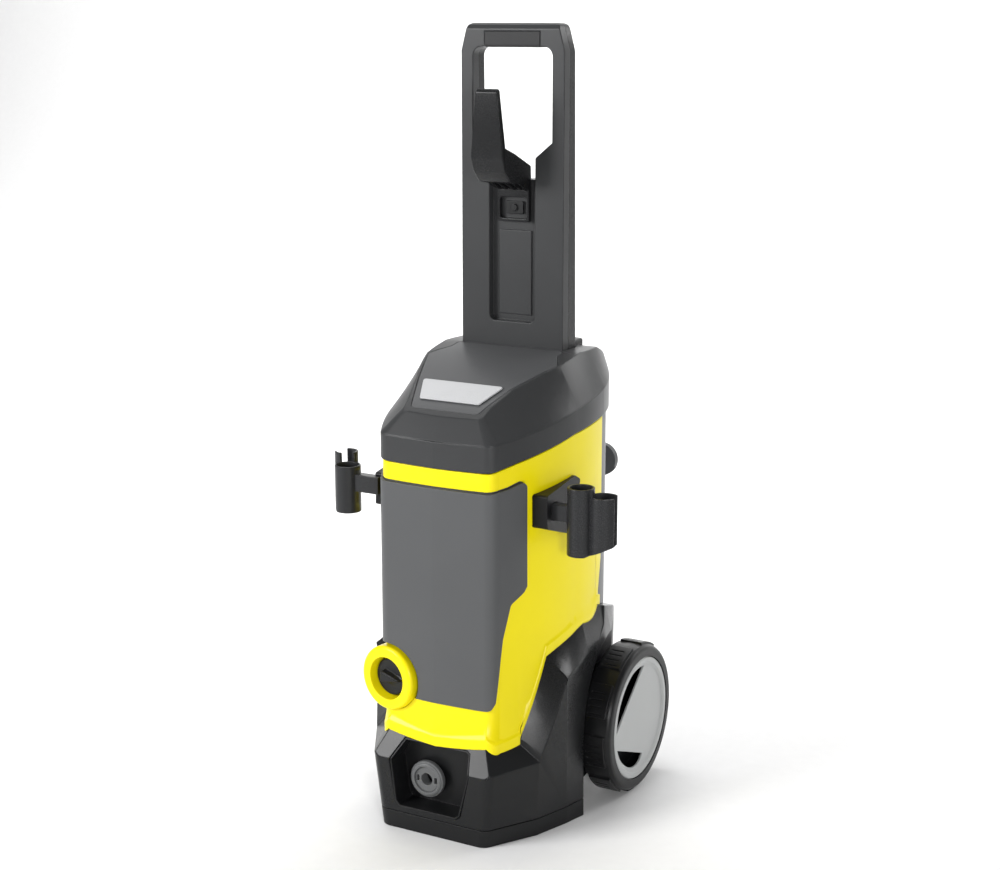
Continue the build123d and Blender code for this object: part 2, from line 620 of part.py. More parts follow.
for side, hand in ((1, "right"), (-1, "left")):
    with BuildPart() as tyre:
        with BuildSketch(Plane.XY) as tyre_section:
            with BuildLine():
                Polyline(*[(side * x, r) for x, r in TYRE_SECTION], close=True)
            make_face()
        revolve(axis=Axis.X)
        # raised tread pads, each with cross ribs
        for pad in range(TREAD_PADS):
            turn = 360 / TREAD_PADS * pad
            with BuildSketch(Plane.YZ.offset(side * (TYRE_IN + 7))):
                with BuildLine():
                    CenterArc((0, 0), WHEEL_R, turn - 103, 26)
                    CenterArc((0, 0), TYRE_BODY_R - 3, turn - 103, 26)
                    for edge in (turn - 103, turn - 77):
                        direction = Vector(1, 0, 0).rotate(Axis.Z, edge)
                        Line(direction * (TYRE_BODY_R - 3), direction * WHEEL_R)
                make_face()
            extrude(amount=side * 30)
            for rib in range(4):
                out = Vector(0, 1, 0).rotate(Axis.X, turn - 98 + 5.3 * (rib + 0.5))
                spot = out * WHEEL_R + Vector(side * (TYRE_IN + 21), 0, 0)
                with BuildSketch(Plane(origin=spot - out * 1.3, x_dir=(1, 0, 0), z_dir=out)):
                    SlotOverall(19, 2.6)
                extrude(amount=3, mode=Mode.SUBTRACT)
    tyre.part.locate(Location((0, AXLE_Y, AXLE_Z)))
    keep(tyre, f"tyre_{hand}")

    with BuildPart() as rim:
        rim_section = [(TYRE_IN, 72), (TYRE_IN, TYRE_SEAT_R - 0.2), (156, TYRE_SEAT_R - 0.2), (156, 74),
                       (138, 74), (138, 17), (150, 17), (150, AXLE_R + FIT), (116, AXLE_R + FIT), (116, 17),
                       (133, 20), (133, 72)]
        with BuildSketch(Plane.XY):
            with BuildLine():
                Polyline(*[(side * x, r) for x, r in rim_section], close=True)
            make_face()
        revolve(axis=Axis.X)
        # radial ribs behind the web
        for spoke in range(9):
            spoke_dir = Vector(0, 1, 0).rotate(Axis.X, 40 * spoke)
            with BuildSketch(Plane(origin=(side * 126.5, 0, 0), x_dir=spoke_dir, z_dir=(1, 0, 0))):
                with Locations((46, 0)):
                    Rectangle(54, 3)
            extrude(amount=7, both=True)
    rim.part.locate(Location((0, AXLE_Y, AXLE_Z)))
    keep(rim, f"rim_{hand}")

    with BuildPart() as hub_cap:
        cap_section = [(156.4, 0), (156.4, CAP_R), (161, CAP_R), (CAP_OUT, CAP_R - 1.6), (CAP_OUT, 73),
                       (159.6, 70), (159.0, 40), (159.6, 0)]
        with BuildSketch(Plane.XY):
            with BuildLine():
                Polyline(*[(side * x, r) for x, r in cap_section], close=True)
            make_face()
        revolve(axis=Axis.X)
        for window in CAP_WINDOWS:
            with BuildSketch(Plane.YZ.offset(side * 150)):
                with BuildLine():
                    Spline(*window)
                    Line(window[-1], window[0])
                make_face()
            extrude(amount=side * 20, mode=Mode.SUBTRACT)
    hub_cap.part.locate(Location((0, AXLE_Y, AXLE_Z)))
    keep(hub_cap, f"hub_cap_{hand}")

with BuildPart() as axle:
    with Locations((0, AXLE_Y, AXLE_Z)):
        Cylinder(AXLE_R, 2 * 154, rotation=(0, 90, 0))
keep(axle, "axle")

with BuildPart() as axle_clips:
    with Locations(*[(side * 152, AXLE_Y, AXLE_Z) for side in (-1, 1)]):
        Cylinder(11, 1.5, rotation=(0, 90, 0))
        Cylinder(AXLE_R + FIT, 10, rotation=(0, 90, 0), mode=Mode.SUBTRACT)
keep(axle_clips, "axle_clips")

# ---------------------------------------------------------------- power switch
BEZEL_DEPTH = 42.0
KNOB_R, KNOB_SEAT = 23.6, 16.0
with BuildPart() as switch_bezel:
    add(knob_drum(RING_R, 0, BEZEL_DEPTH))
    fillet(switch_bezel.edges().filter_by(GeomType.CIRCLE).sort_by(Axis.Y)[0], radius=5)
    with BuildSketch(KNOB_PLANE.offset(0.1)):
        Circle(27)
    with BuildSketch(KNOB_PLANE.offset(-KNOB_SEAT - 1)):
        Circle(25)
    loft(mode=Mode.SUBTRACT)
    add(knob_drum(12, -30, 60), mode=Mode.SUBTRACT)
    add(knob_drum(31, KNOB_SEAT + 5, 60), mode=Mode.SUBTRACT)
    # the drum stands on the shoulders of the base
    add(BASE_GAP, mode=Mode.SUBTRACT)
keep(switch_bezel, "switch_bezel")

with BuildPart() as switch_knob:
    add(knob_drum(KNOB_R, KNOB_SEAT - 7, KNOB_SEAT))
    fillet(switch_knob.edges().filter_by(GeomType.CIRCLE).sort_by(Axis.Y)[0], radius=2)
    with BuildSketch(KNOB_PLANE.offset(-KNOB_SEAT + 6)):
        with BuildLine():
            Polyline((-20.5, -1.6), (-20.5, 1.6), (9, 8.5), (12.5, 6.5), (12.5, -6.5), (9, -8.5), close=True)
        make_face()
    extrude(amount=9, taper=8)
keep(switch_knob, "switch_knob")

with BuildPart() as switch_shaft:
    add(knob_drum(4, KNOB_SEAT, KNOB_SEAT + 27))
keep(switch_shaft, "switch_shaft")

with BuildPart() as switch_box:
    with BuildSketch(KNOB_PLANE.offset(-KNOB_SEAT - 5.3)):
        RectangleRounded(36, 44, 3)
    extrude(amount=-22)
    add(knob_drum(4 + FIT, KNOB_SEAT, 68), mode=Mode.SUBTRACT)
keep(switch_box, "switch_box")

# ---------------------------------------------------------------- high-pressure outlet in the recess
NIPPLE_R = 16.0
COLLAR_R = 23.5
SOCKET_R, SOCKET_DEEP, SEAL_Y = 8.0, 24.0, -121.0
with BuildPart() as outlet_nipple:
    with Locations((OUTLET[0], -137, OUTLET[2])):
        Cylinder(NIPPLE_R, 41, rotation=(90, 0, 0), align=(Align.CENTER, Align.CENTER, Align.MAX))
        Cylinder(6.5, 90, rotation=(90, 0, 0), mode=Mode.SUBTRACT)
    # socket with a groove for the seal
    with Locations((OUTLET[0], -137, OUTLET[2])):
        Cylinder(SOCKET_R, 2 * SOCKET_DEEP, rotation=(90, 0, 0), mode=Mode.SUBTRACT)
    with Locations((OUTLET[0], SEAL_Y, OUTLET[2])):
        Cylinder(10.5, 2.8, rotation=(90, 0, 0), mode=Mode.SUBTRACT)
    # bayonet slots to the left and right of the socket
    with Locations(*[(OUTLET[0] + x, -136, OUTLET[2]) for x in (-12.6, 12.6)]):
        Box(4, 14, 8, mode=Mode.SUBTRACT)
keep(outlet_nipple, "outlet_nipple")

with BuildPart() as outlet_seal:
    with Locations((OUTLET[0], SEAL_Y, OUTLET[2])):
        Cylinder(10.3, 2.4, rotation=(90, 0, 0))
        Cylinder(SOCKET_R + 0.1, 10, rotation=(90, 0, 0), mode=Mode.SUBTRACT)
keep(outlet_seal, "outlet_seal")

with BuildPart() as release_collar:
    with BuildSketch(Plane.YZ):
        with BuildLine():
            Polyline((-139.5, 18.5), (-139.5, 20), (-137.6, COLLAR_R - 1), (-135, COLLAR_R),
                     (-131.5, COLLAR_R), (-131.5, 18.5), close=True)
        make_face()
    revolve(axis=Axis.Y)
    with Locations((0, -135.5, 0)):
        Cylinder(19, 8, rotation=(90, 0, 0))
        Cylinder(NIPPLE_R + 0.08, 30, rotation=(90, 0, 0), mode=Mode.SUBTRACT)
release_collar.part.locate(Location((OUTLET[0], 0, OUTLET[2])))
keep(release_collar, "release_collar")

# ---------------------------------------------------------------- side brackets and lance holders
BRACKET_SIDE = [(-85, 394), (-85, 434), (-12, 444), (2, 437), (-8, 388), (-32, 376)]
BRACKET_OUT = 121.0
HOLDERS = {
    # side: tube centre, tube radius, low, high, arm height and width, lobe centre, lobe radius, lobe top
    "right": (1, (156, -66), 16.5, 363, 446, (402, 422), (183.5, -60), 18.0, 437),
    "left": (-1, (161, -86), 16.5, 380, 440, (408, 430), (176, -66), 15.0, 452),
}
HOLDER_WALL = 2.8
for hand, (side, tube, tube_r, low, high, arm, lobe, lobe_r, lobe_top) in HOLDERS.items():
    with BuildPart() as bracket:
        with BuildSketch(Plane.YZ.offset(side * 92)):
            with BuildLine():
                Polyline(*BRACKET_SIDE, close=True)
            bracket_face = make_face()
            fillet(bracket_face.vertices(), radius=4)
        extrude(amount=side * (BRACKET_OUT - 92))
        add(body_tower(-1.6, 360, 460), mode=Mode.SUBTRACT)
        # socket for the holder's arm
        with Locations((side * 118, tube[1], sum(arm) / 2)):
            Box(14, 14.6, arm[1] - arm[0] + 0.6, mode=Mode.SUBTRACT)
    keep(bracket, f"bracket_{hand}")

    with BuildPart() as holder:
        tube_spot, lobe_spot = (side * tube[0], tube[1]), (side * lobe[0], lobe[1])
        with BuildSketch(Plane.XY.offset(low)):
            with Locations(lobe_spot):
                Circle(lobe_r)
                Circle(lobe_r - HOLDER_WALL, mode=Mode.SUBTRACT)
            # mouth of the outer tube
            with Locations((side * (lobe[0] + lobe_r), lobe[1] + 4)):
                Rectangle(17, 20, mode=Mode.SUBTRACT)
            with Locations(tube_spot):
                Circle(tube_r - 1, mode=Mode.SUBTRACT)
        extrude(amount=lobe_top - low)
        with BuildSketch(Plane.XY.offset(low)):
            with Locations(tube_spot):
                Circle(tube_r)
                Circle(tube_r - HOLDER_WALL, mode=Mode.SUBTRACT)
        extrude(amount=high - low)
        # arm into the bracket
        with Locations((side * (112 + tube[0] - tube_r + 1.5) / 2, tube[1], sum(arm) / 2)):
            Box(tube[0] - tube_r + 1.5 - 112, 14, arm[1] - arm[0])
        # the foot of the outer tube is cut on a slant
        with BuildSketch(Plane.XZ.offset(200)):
            with BuildLine():
                Polyline(
                    (side * (tube[0] + 8), low - 1), (side * (lobe[0] + lobe_r + 1), low + 16),
                    (side * (lobe[0] + lobe_r + 1), low - 1), close=True,
                )
            make_face()
        extrude(amount=-300, mode=Mode.SUBTRACT)
    keep(holder, f"holder_{hand}")

# ---------------------------------------------------------------- rear: cable hooks, cord gland, water inlet
HOOK_TIP = 285.0
with BuildPart() as hook_post:
    with Locations((0, BACK_Y - 4, HOOK_Z)):
        Cylinder(POST_R, 84, rotation=(-90, 0, 0), align=(Align.CENTER, Align.CENTER, Align.MIN))
    with Locations((0, BACK_Y - 1.6, HOOK_Z)):
        Cylinder(19, 5.2, rotation=(-90, 0, 0), align=(Align.CENTER, Align.CENTER, Align.MIN))
keep(hook_post, "hook_post")

with BuildPart() as cable_hook:
    with Locations((0, 166, HOOK_Z)):
        Cylinder(13, 106, rotation=(-90, 0, 0), align=(Align.CENTER, Align.CENTER, Align.MIN))
    with BuildSketch(Plane.XZ.offset(-HOOK_TIP + 13)):
        with Locations((0, HOOK_Z)):
            SlotOverall(80, 46)
    extrude(amount=-13)
    fillet(cable_hook.faces().sort_by(Axis.Y)[-1].edges(), radius=5)
    with Locations((0, 160, HOOK_Z)):
        Cylinder(POST_R + FIT, 82, rotation=(-90, 0, 0), align=(Align.CENTER, Align.CENTER, Align.MIN),
                 mode=Mode.SUBTRACT)
keep(cable_hook, "cable_hook")

with BuildPart() as lower_hook:
    with Locations((0, 171, 196)):
        Box(44, 46, 12, align=(Align.CENTER, Align.MIN, Align.CENTER))
    with Locations((0, 213, 189)):
        Box(60, 8, 50)
    fillet(lower_hook.faces().sort_by(Axis.Y)[-1].edges(), radius=3)
keep(lower_hook, "lower_hook")

with BuildPart() as cord_gland:
    with Locations((GLAND[0], BACK_Y - 8, GLAND[1])):
        Cylinder(9, 20, rotation=(-90, 0, 0), align=(Align.CENTER, Align.CENTER, Align.MIN))
        Cone(9, 6.5, 14, rotation=(-90, 0, 0), align=(Align.CENTER, Align.CENTER, Align.MIN))
    with Locations((GLAND[0], BACK_Y - 10, GLAND[1])):
        Cylinder(4.2, 80, rotation=(-90, 0, 0), mode=Mode.SUBTRACT)
keep(cord_gland, "cord_gland")

with BuildPart() as inlet_nipple:
    with Locations((INLET[0], 150, INLET[1])):
        Cylinder(13, 44, rotation=(-90, 0, 0), align=(Align.CENTER, Align.CENTER, Align.MIN))
    with Locations((INLET[0], 171.5, INLET[1])):
        Cylinder(17, 4, rotation=(-90, 0, 0), align=(Align.CENTER, Align.CENTER, Align.MIN))
    with Locations((INLET[0], 150, INLET[1])):
        Cylinder(9, 120, rotation=(-90, 0, 0), mode=Mode.SUBTRACT)
keep(inlet_nipple, "inlet_nipple")

with BuildPart() as inlet_filter:
    with Locations((INLET[0], 178, INLET[1])):
        Cylinder(8.9, 3, rotation=(-90, 0, 0), align=(Align.CENTER, Align.CENTER, Align.MIN))
        Cylinder(6.5, 24, rotation=(90, 0, 0), align=(Align.CENTER, Align.CENTER, Align.MIN))
        Cylinder(5.6, 60, rotation=(-90, 0, 0), mode=Mode.SUBTRACT)
keep(inlet_filter, "inlet_filter")

# ---------------------------------------------------------------- motor and pump
MOTOR = (0, MOTOR_Y)
JACKET_R = 62.0
MOTOR_LOW, MOTOR_HIGH = 214.0, 398.0


def ring(radius, bore, low, high):
    """Round ring on the motor's axis."""
    with BuildPart(mode=Mode.PRIVATE) as body:
        with Locations((*MOTOR, low)):
            Cylinder(radius, high - low, align=(Align.CENTER, Align.CENTER, Align.MIN))
            if bore:
                Cylinder(bore, 3 * (high - low), mode=Mode.SUBTRACT)
    return body.part


with BuildPart() as motor_jacket:
    add(ring(JACKET_R, 57.5, MOTOR_LOW, MOTOR_HIGH))
    add(ring(JACKET_R, 20.05, MOTOR_LOW, MOTOR_LOW + 17.5))
    for z in range(232, 392, 20):
        add(ring(JACKET_R + 2, 60, z, z + 3))
keep(motor_jacket, "motor_jacket")

with BuildPart() as motor_end_cap:
    add(ring(JACKET_R, 20.05, MOTOR_HIGH + 0.1, MOTOR_HIGH + 12))
    add(ring(26, 0, MOTOR_HIGH + 12, MOTOR_HIGH + 22))
keep(motor_end_cap, "motor_end_cap")

with BuildPart() as stator:
    add(ring(57.3, 35, 250, 366))
    for low, high in ((232, 250), (366, 384)):
        add(ring(52, 38, low, high))
keep(stator, "stator")

SHAFT_R = 8.0
with BuildPart() as rotor:
    add(ring(34.4, SHAFT_R + 0.01, 252, 364))
keep(rotor, "rotor")

with BuildPart() as motor_shaft:
    add(ring(SHAFT_R, 0, 190, 407))
keep(motor_shaft, "motor_shaft")

with BuildPart() as bearings:
    add(ring(20, SHAFT_R + FIT, 220.3, 231))
    add(ring(20, SHAFT_R + FIT, MOTOR_HIGH + 0.4, MOTOR_HIGH + 9))
keep(bearings, "bearings")

SWASH_TILT = 8.0
with BuildPart() as swash_plate:
    with Locations(Location((*MOTOR, 189), (SWASH_TILT, 0, 0))):
        Cylinder(30, 7)
    add(ring(14, 0, 189, 204))
    add(ring(SHAFT_R + 0.01, 0, 190, 240), mode=Mode.SUBTRACT)
keep(swash_plate, "swash_plate")

with BuildPart() as pump_housing:
    add(ring(50, 38, 150, 213.7))
    add(ring(50, 0, 112, 150))
    add(ring(JACKET_R, 38, 206, 213.7))
    with Locations(*[(x, MOTOR_Y + y, 116) for x in (-72, 72) for y in (-30, 30)]):
        Cylinder(9, 8)
    with Locations(*[(x, MOTOR_Y + y, 116) for x in (-56, 56) for y in (-30, 30)]):
        Box(34, 14, 8)
    add(ring(38, 0, 150, 205.8), mode=Mode.SUBTRACT)
    with Locations((*MOTOR, 131)):
        with PolarLocations(22, 3):
            Cylinder(7 + FIT, 60, mode=Mode.SUBTRACT)
keep(pump_housing, "pump_housing")

with BuildPart() as pistons:
    with Locations((*MOTOR, 120)):
        with PolarLocations(22, 3):
            Cylinder(7, 56, align=(Align.CENTER, Align.CENTER, Align.MIN))
keep(pistons, "pistons")

with BuildPart() as piston_springs:
    with Locations((*MOTOR, 150.3)):
        with PolarLocations(22, 3):
            Cylinder(9.5, 20, align=(Align.CENTER, Align.CENTER, Align.MIN))
            Cylinder(7.4, 60, mode=Mode.SUBTRACT)
keep(piston_springs, "piston_springs")

with BuildPart() as cylinder_head:
    add(ring(50, 0, 52, 111.8))
    # outlet boss to the front, inlet boss to the rear
    with Locations((OUTLET[0], -96, OUTLET[2])):
        Cylinder(14, 30, rotation=(-90, 0, 0), align=(Align.CENTER, Align.CENTER, Align.MIN))
    with Locations((INLET[0], -40, 100)):
        Cylinder(11, 56, rotation=(-90, 0, 0), align=(Align.CENTER, Align.CENTER, Align.MIN))
    with Locations((OUTLET[0], -96, OUTLET[2])):
        Cylinder(6.5, 50, rotation=(-90, 0, 0), align=(Align.CENTER, Align.CENTER, Align.MIN),
                 mode=Mode.SUBTRACT)
    with Locations((INLET[0], 16, 100)):
        Cylinder(6, 50, rotation=(90, 0, 0), align=(Align.CENTER, Align.CENTER, Align.MIN),
                 mode=Mode.SUBTRACT)
    with Locations((*MOTOR, 131)):
        with PolarLocations(22, 3):
            Cylinder(5, 60, mode=Mode.SUBTRACT)
        with PolarLocations(41, 4, start_angle=45):
            Cylinder(4.3, 300, mode=Mode.SUBTRACT)
keep(cylinder_head, "cylinder_head")

with BuildPart() as head_bolts:
    with Locations((*MOTOR, 44)):
        with PolarLocations(41, 4, start_angle=45):
            Cylinder(6.5, 7.9, align=(Align.CENTER, Align.CENTER, Align.MIN))
            Cylinder(4, 67, align=(Align.CENTER, Align.CENTER, Align.MIN))
keep(head_bolts, "head_bolts")

with BuildPart() as pump_mounts:
    with Locations(*[(x, MOTOR_Y + y, 102.1) for x in (-72, 72) for y in (-30, 30)]):
        Cylinder(9, 9.8, align=(Align.CENTER, Align.CENTER, Align.MIN))
keep(pump_mounts, "pump_mounts")

with BuildPart() as inlet_pipe:
    with BuildLine() as inlet_route:
        FilletPolyline(
            (INLET[0], 149.8, INLET[1]), (INLET[0], 60, INLET[1]), (INLET[0], 40, 100), (INLET[0], 16.2, 100),
            radius=14,
        )
    with BuildSketch(Plane(origin=inlet_route.line @ 0, z_dir=inlet_route.line % 0)):
        Circle(8)
        Circle(6, mode=Mode.SUBTRACT)
    sweep()
keep(inlet_pipe, "inlet_pipe")

with BuildPart() as capacitor:
    with Locations((70, -96, 330)):
        Cylinder(19, 72, align=(Align.CENTER, Align.CENTER, Align.MIN))
keep(capacitor, "capacitor")

# ---------------------------------------------------------------- rails that guide the handle, and screws
for side, hand in ((1, "right"), (-1, "left")):
    with BuildPart() as rail:
        with Locations((side * 76, 66.2, 150)):
            Box(7.6, 46, 380, align=(Align.CENTER, Align.CENTER, Align.MIN))
        # lips in front of and behind the handle's edge
        with Locations((side * 70, 45.0, 150), (side * 70, 87.4, 150)):
            Box(12, 3.6, 380, align=(Align.CENTER, Align.CENTER, Align.MIN))
        # foot on the wall of the wheel arch
        with Locations((side * 94, 66, 176)):
            Box(32, 20, 6, align=(Align.CENTER, Align.CENTER, Align.MIN))
    keep(rail, f"guide_rail_{hand}")

with BuildPart() as cover_screws:
    with Locations(*[(x, BACK_Y - 2 + 0.2, z) for x, z in COVER_SCREWS]):
        Cylinder(4, 2.4, rotation=(-90, 0, 0), align=(Align.CENTER, Align.CENTER, Align.MIN))
        Cylinder(2, 12, rotation=(90, 0, 0), align=(Align.CENTER, Align.CENTER, Align.MIN))
keep(cover_screws, "cover_screws")
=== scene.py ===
import json
from math import cos, pi, radians, sin

import bmesh
import bpy
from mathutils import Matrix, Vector


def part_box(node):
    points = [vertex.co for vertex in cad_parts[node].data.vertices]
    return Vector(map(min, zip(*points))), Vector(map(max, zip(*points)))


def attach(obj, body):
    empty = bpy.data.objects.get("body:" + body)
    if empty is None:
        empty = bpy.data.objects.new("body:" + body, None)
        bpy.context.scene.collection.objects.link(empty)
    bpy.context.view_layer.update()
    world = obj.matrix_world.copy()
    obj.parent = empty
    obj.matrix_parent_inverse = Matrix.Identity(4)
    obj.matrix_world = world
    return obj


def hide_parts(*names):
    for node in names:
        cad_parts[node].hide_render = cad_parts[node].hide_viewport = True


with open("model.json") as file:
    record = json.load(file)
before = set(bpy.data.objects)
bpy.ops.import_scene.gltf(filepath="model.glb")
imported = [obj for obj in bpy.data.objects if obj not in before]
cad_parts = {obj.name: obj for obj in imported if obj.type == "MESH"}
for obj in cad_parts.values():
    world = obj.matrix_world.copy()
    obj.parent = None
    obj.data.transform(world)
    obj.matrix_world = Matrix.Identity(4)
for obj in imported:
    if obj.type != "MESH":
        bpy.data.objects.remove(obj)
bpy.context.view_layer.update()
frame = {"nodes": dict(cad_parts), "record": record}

# ================================================================ studio
# A pale sweep of paper that the machine stands on and in front of, under soft boxes.
# The camera stands to the right of the machine's front, a little above its middle.
CAMERA_TURN, CAMERA_DOWN = radians(29.07), radians(13.01)
CAMERA_PLACE, CAMERA_LENS, CAMERA_SENSOR, CAMERA_REACH = (1.0746, -1.9156, 0.9859), 65.01, 36, 50
camera = bpy.data.objects.new("camera", bpy.data.cameras.new("camera"))
bpy.context.scene.collection.objects.link(camera)
camera.data.sensor_width = CAMERA_SENSOR
camera.data.lens = CAMERA_LENS
camera.location = CAMERA_PLACE
level = cos(CAMERA_DOWN)
back = Vector((sin(CAMERA_TURN) * level, -cos(CAMERA_TURN) * level, sin(CAMERA_DOWN)))
camera.rotation_mode = "QUATERNION"
camera.rotation_quaternion = (-back).to_track_quat("-Z", "Y")
camera.data.clip_end = CAMERA_REACH
bpy.context.scene.camera = camera
bpy.context.scene.view_settings.view_transform = "Standard"


def soft_box(name, place, aim, size, watts):
    """A square area light at place that points at aim."""
    light = bpy.data.lights.new(name, "AREA")
    light.size = size
    light.energy = watts
    lamp = bpy.data.objects.new(name, light)
    bpy.context.scene.collection.objects.link(lamp)
    lamp.location = place
    lamp.rotation_mode = "QUATERNION"
    lamp.rotation_quaternion = (Vector(aim) - Vector(place)).to_track_quat("-Z", "Y")


soft_box("key", (-1.9, -2.6, 1.7), (0, 0, 0.5), 1.3, 100)
soft_box("strip", (1.95, -2.3, 0.9), (0, 0, 0.4), 0.45, 34)
soft_box("rear", (1.7, 2.3, 1.8), (0, 0, 0.5), 1.0, 22)
soft_box("top", (-0.3, 0.4, 3.2), (0, 0, 0.6), 1.6, 18)
soft_box("backdrop_glow", (-1.2, 1.2, 3.0), (-2.2, 3.6, 0.8), 2.6, 150)

WORLD_WHITE, WORLD_STRENGTH = (1, 1, 1, 1), 0.24
world = bpy.data.worlds.new("studio")
world.use_nodes = True
world.node_tree.nodes["Background"].inputs["Color"].default_value = WORLD_WHITE
world.node_tree.nodes["Background"].inputs["Strength"].default_value = WORLD_STRENGTH
bpy.context.scene.world = world


class Shade:
    """A value in a material's node tree, so that sums and products of textures read as such."""

    def __init__(self, tree, socket=None):
        self.tree = tree
        self.socket = socket

    def node(self, kind, sockets, out=0, **settings):
        """A node of that kind: its settings, then its sockets, each a number, a colour or a Shade."""
        made = self.tree.nodes.new("ShaderNode" + kind)
        for key, value in settings.items():
            setattr(made, key, value)
        for key, value in sockets.items():
            if isinstance(value, Shade):
                self.tree.links.new(value.socket, made.inputs[key])
            else:
                made.inputs[key].default_value = value
        return Shade(self.tree, made.outputs[out]) if made.outputs else made

    def maths(self, operation, *values):
        return self.node("Math", dict(enumerate(values)), operation=operation)

    def __add__(self, other):
        return self.maths("ADD", self, other)

    def __sub__(self, other):
        return self.maths("SUBTRACT", self, other)

    def __rsub__(self, other):
        return self.maths("SUBTRACT", other, self)

    def __mul__(self, other):
        return self.maths("MULTIPLY", self, other)

    __radd__ = __add__
    __rmul__ = __mul__


def new_material(name):
    """An empty material and the start of its node tree."""
    material = bpy.data.materials.new(name)
    material.use_nodes = True
    material.node_tree.nodes.clear()
    return material, Shade(material.node_tree)


def mixed(mask, first, second):
    """The first colour where the mask is 0 and the second where it is 1."""
    return mask.node("Mix", {0: mask, 6: first, 7: second}, out=2, data_type="RGBA")


def finished(start, sockets):
    """The tree's shader and output."""
    shader = start.node("BsdfPrincipled", sockets)
    start.node("OutputMaterial", {"Surface": shader})


def scaled(colour, share):
    """A colour made darker or lighter, with its alpha."""
    return tuple(min(1.0, part * share) for part in colour) + (1.0,)


paper, start = new_material("paper")
where = start.node("TexCoord", {}, out="Object")
fibres = start.node("TexNoise", {"Vector": where, "Scale": 60.0, "Detail": 4.0})
finished(start, {
    "Base Color": mixed(fibres, (0.86, 0.86, 0.86, 1), (0.9, 0.9, 0.9, 1)),
    "Roughness": 0.9,
})
# The paper lies flat from its front edge to SWEEP_Y, then curves up with the radius SWEEP_R.
SWEEP_HALF, SWEEP_FRONT, SWEEP_Y, SWEEP_R, SWEEP_TOP, SWEEP_STEP = 9.0, -6.0, 2.2, 1.6, 6.0, 6
sweep = bmesh.new()
curve = [(SWEEP_Y + SWEEP_R * sin(radians(turn)), SWEEP_R * (1 - cos(radians(turn))))
         for turn in range(0, 91, SWEEP_STEP)]
rows = [(SWEEP_FRONT, 0.0), *curve, (SWEEP_Y + SWEEP_R, SWEEP_TOP)]
pairs = [[sweep.verts.new((x, y, z)) for x in (-SWEEP_HALF, SWEEP_HALF)] for y, z in rows]
for near, far in zip(pairs, pairs[1:]):
    sweep.faces.new((near[0], near[1], far[1], far[0]))
floor_mesh = bpy.data.meshes.new("floor")
sweep.to_mesh(floor_mesh)
sweep.free()
floor_mesh.shade_smooth()
floor = bpy.data.objects.new("floor", floor_mesh)
bpy.context.scene.collection.objects.link(floor)
floor.data.materials.append(paper)

# ================================================================ floor pan and foot strips
# The black skirt and floor of the machine, injection moulded in one piece, with the pump's posts inside.
# Two rubber strips are pressed into its front half, so that it doesn't slip.
BLACK = (0.008, 0.0083, 0.009)


def moulded(name, colour, roughness, grain=1.0, rubbed_and_highlit_share=0.3, rubbed_and_highlit_tone=2.2):
    """Moulded plastic: a fine eroded grain, faint clouds from its flow, and lighter edges, part rubbed wear
    and part painted highlight.
    """
    material, start = new_material(name)
    where = start.node("TexCoord", {}, out="Object")
    clouds = start.node("TexNoise", {"Vector": where, "Scale": 8.0, "Detail": 3.0, "Roughness": 0.55})
    skin = start.node("TexNoise", {"Vector": where, "Scale": 1100.0, "Detail": 2.0, "Roughness": 0.6})
    pits = start.node("TexVoronoi", {"Vector": where, "Scale": 1500.0}, out="Distance")
    rounded = start.node("Bevel", {"Radius": 0.0012}, out="Normal", samples=4)
    face = start.node("NewGeometry", {}, out="Normal")
    flat = start.node("VectorMath", {0: rounded, 1: face}, out="Value", operation="DOT_PRODUCT")
    # The rounded edges are lightened: partly rubbed wear, partly a painted highlight along them.
    edge = start.node("MapRange", {"Value": 1 - flat, "From Min": 0.004, "From Max": 0.16, "To Max": rubbed_and_highlit_share})
    body = mixed(clouds, scaled(colour, 0.94), scaled(colour, 1.07))
    bump = start.node("Bump", {
        "Strength": 0.22 * grain,
        "Distance": 0.00012,
        "Height": skin + pits * 0.6,
        "Normal": rounded,
    }, out="Normal")
    finished(start, {
        "Base Color": mixed(edge, body, scaled(colour, rubbed_and_highlit_tone)),
        "Roughness": roughness + clouds * 0.10 + skin * 0.06 - 0.08,
        "Normal": bump,
        "Specular IOR Level": 0.24,
    })
    return material


def soft_rubber(name, colour, roughness):
    """Moulded rubber: matt, slightly dusty, with a soft uneven skin."""
    material, start = new_material(name)
    where = start.node("TexCoord", {}, out="Object")
    dust = start.node("TexNoise", {"Vector": where, "Scale": 45.0, "Detail": 5.0, "Roughness": 0.65})
    skin = start.node("TexNoise", {"Vector": where, "Scale": 700.0, "Detail": 3.0})
    bump = start.node("Bump", {"Strength": 0.35, "Distance": 0.00015, "Height": skin}, out="Normal")
    finished(start, {
        "Base Color": mixed(dust, scaled(colour, 0.85), scaled(colour, 1.5)),
        "Roughness": roughness + dust * 0.12 - 0.06,
        "Normal": bump,
        "Specular IOR Level": 0.35,
    })
    return material


def shown(piece, name, body, material):
    """A finished mesh as a piece of the machine, riding on its body."""
    mesh = piece if isinstance(piece, bpy.types.Mesh) else bpy.data.meshes.new(name)
    if mesh is not piece:
        piece.to_mesh(mesh)
        piece.free()
    made = bpy.data.objects.new(name, mesh)
    bpy.context.scene.collection.objects.link(made)
    mesh.materials.append(material)
    mesh.shade_smooth()
    mesh.set_sharp_from_angle(angle=radians(34))
    evened = made.modifiers.new("evened", "WEIGHTED_NORMAL")
    evened.keep_sharp = True
    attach(made, body)
    return made


body_of = {node: body for body, nodes in frame["record"]["behaviour"]["bodies"].items() for node in nodes}


def skin_of(node):
    """A node's surface as one closed skin, with its flat faces whole."""
    skin = bmesh.new()
    skin.from_mesh(frame["nodes"][node].data)
    bmesh.ops.remove_doubles(skin, verts=skin.verts, dist=2e-6)
    bmesh.ops.dissolve_limit(skin, angle_limit=radians(0.6), verts=skin.verts, edges=skin.edges)
    return skin


